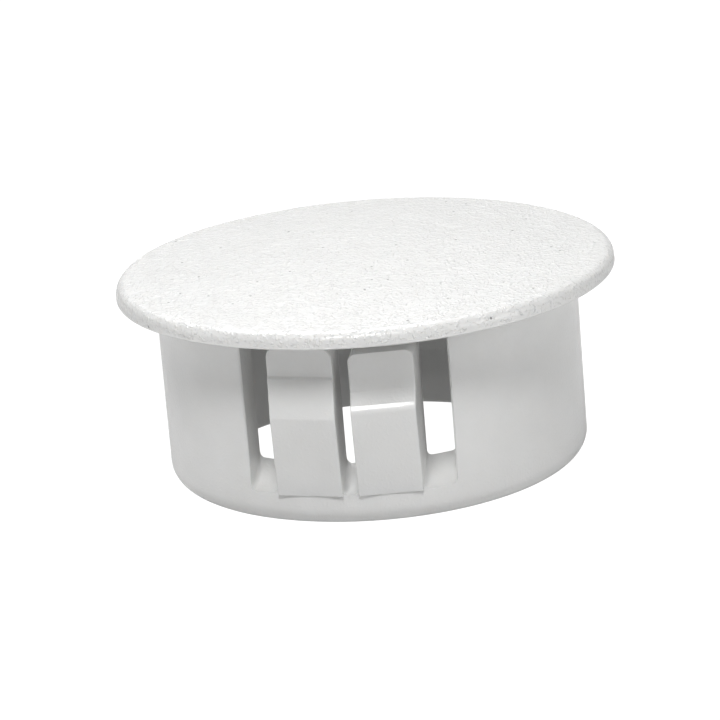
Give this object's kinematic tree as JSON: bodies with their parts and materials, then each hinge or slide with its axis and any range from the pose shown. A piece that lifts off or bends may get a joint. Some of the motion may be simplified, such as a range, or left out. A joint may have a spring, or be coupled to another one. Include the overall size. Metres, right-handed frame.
{
  "type": "hole plug",
  "caption": "Snap-in hole plug: a thin domed round head over a thick open barrel, with windows holding snap fingers that lock it in a round hole in sheet metal.",
  "frame": {"origin": "on the axis, in the plane of the barrel's open foot", "axes": "+Z along the axis from the open foot up to the head; -Y and +Y out through the middle of the windows"},
  "size_m": [0.0296, 0.0296, 0.0127],
  "materials": {
    "nylon": "natural off-white nylon, finely pebbled on the head, smooth satin on the barrel and fingers"
  },
  "bodies": {
    "root": {"hole_plug": "nylon"}
  },
  "joints": []
}
